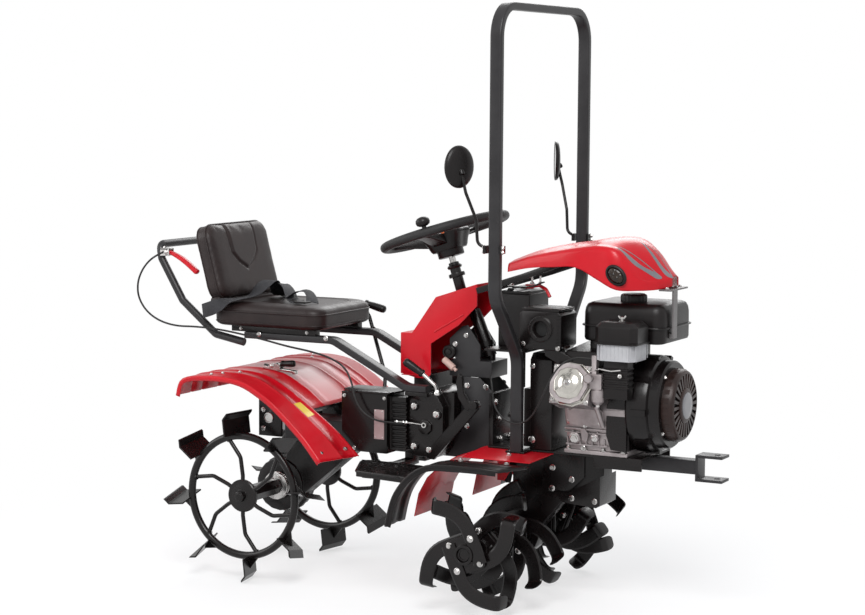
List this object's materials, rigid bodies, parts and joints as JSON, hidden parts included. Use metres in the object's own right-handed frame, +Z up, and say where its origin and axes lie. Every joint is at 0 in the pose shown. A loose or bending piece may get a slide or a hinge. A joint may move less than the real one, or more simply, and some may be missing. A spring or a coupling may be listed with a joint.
{
  "type": "mini tractor with rotary tiller",
  "caption": "Small ride-on tractor with iron lug wheels, a front petrol engine, a rotary tiller under it, a rollover hoop and a sprung-tube seat frame.",
  "frame": {"origin": "on the ground under the middle of the overall length", "axes": "+X forward, +Y to the driver's left, +Z up"},
  "size_m": [1.8883, 0.8, 1.737],
  "materials": {
    "black": "gloss black powder coat",
    "dark_grey": "satin dark grey powder coat",
    "red": "gloss red paint",
    "vinyl": "satin moulded vinyl",
    "black_plastic": "satin black plastic",
    "aluminium": "die cast",
    "steel": "bright zinc plate",
    "grey_bowl": "translucent grey moulding",
    "red_plastic": "glossy",
    "webbing": "woven webbing",
    "rubber": "satin",
    "lens": "clear"
  },
  "bodies": {
    "chassis": {"air_bowl": "grey_bowl", "air_cleaner": "black_plastic", "axle_case": "black", "battery": "black_plastic", "battery_tray": "black", "belt_case": "black", "carburettor": "aluminium", "clutch_cable": "rubber", "clutch_lever": "red_plastic", "engine_block": "aluminium", "engine_cylinder": "aluminium", "fan_shroud": "black_plastic", "fender_lever": "black", "fender_support": "black", "footrest_left": "black", "footrest_right": "black", "front_fender_left": "black_plastic", "front_fender_right": "black_plastic", "front_frame": "black", "front_hitch": "dark_grey", "fuel_tank": "black_plastic", "gear_lever": "black", "hood": "red", "hood_bars": "black", "hood_post": "black", "joint_plate": "black", "main_frame": "dark_grey", "marker_lamps": "lens", "mirror_left": "black", "mirror_right": "black", "muffler": "black", "park_lever": "black", "pedal": "black", "rear_fender": "red", "recoil_starter": "black_plastic", "rollover_bar": "dark_grey", "seat_backrest": "vinyl", "seat_belt": "webbing", "seat_cushion": "vinyl", "seat_loop": "dark_grey", "seat_rails": "dark_grey", "seat_slides": "black", "side_box": "black", "steering_column": "black", "steering_cover": "red", "steering_support": "dark_grey", "tank_bracket": "black", "throttle_cable": "rubber", "tiller_case": "black", "tiller_guard": "red", "transmission": "black"},
    "wheel_right": {"rear_wheel_right": "black", "half_shaft_right": "steel"},
    "wheel_left": {"rear_wheel_left": "black", "half_shaft_left": "steel"},
    "steering": {"steering_wheel": "black_plastic", "steering_shaft": "steel"},
    "tiller": {"tiller_shaft": "black", "tines_right": "black", "tines_left": "black"}
  },
  "joints": [
    {"name": "wheel_right_spin", "type": "hinge", "parent": "chassis", "child": "wheel_right", "pos_m": [-0.53334, -0.254, 0.26], "axis": [0, 1, 0], "continuous": true},
    {"name": "wheel_left_spin", "type": "hinge", "parent": "chassis", "child": "wheel_left", "pos_m": [-0.53334, 0.254, 0.26], "axis": [0, 1, 0], "continuous": true},
    {"name": "steering_turn", "type": "hinge", "parent": "chassis", "child": "steering", "pos_m": [0.02066, 0, 1.069], "axis": [-0.309, 0, 0.9511], "range_deg": [-540, 540]},
    {"name": "tiller_spin", "type": "hinge", "parent": "chassis", "child": "tiller", "pos_m": [0.28666, 0, 0.19], "axis": [0, 1, 0], "continuous": true}
  ]
}
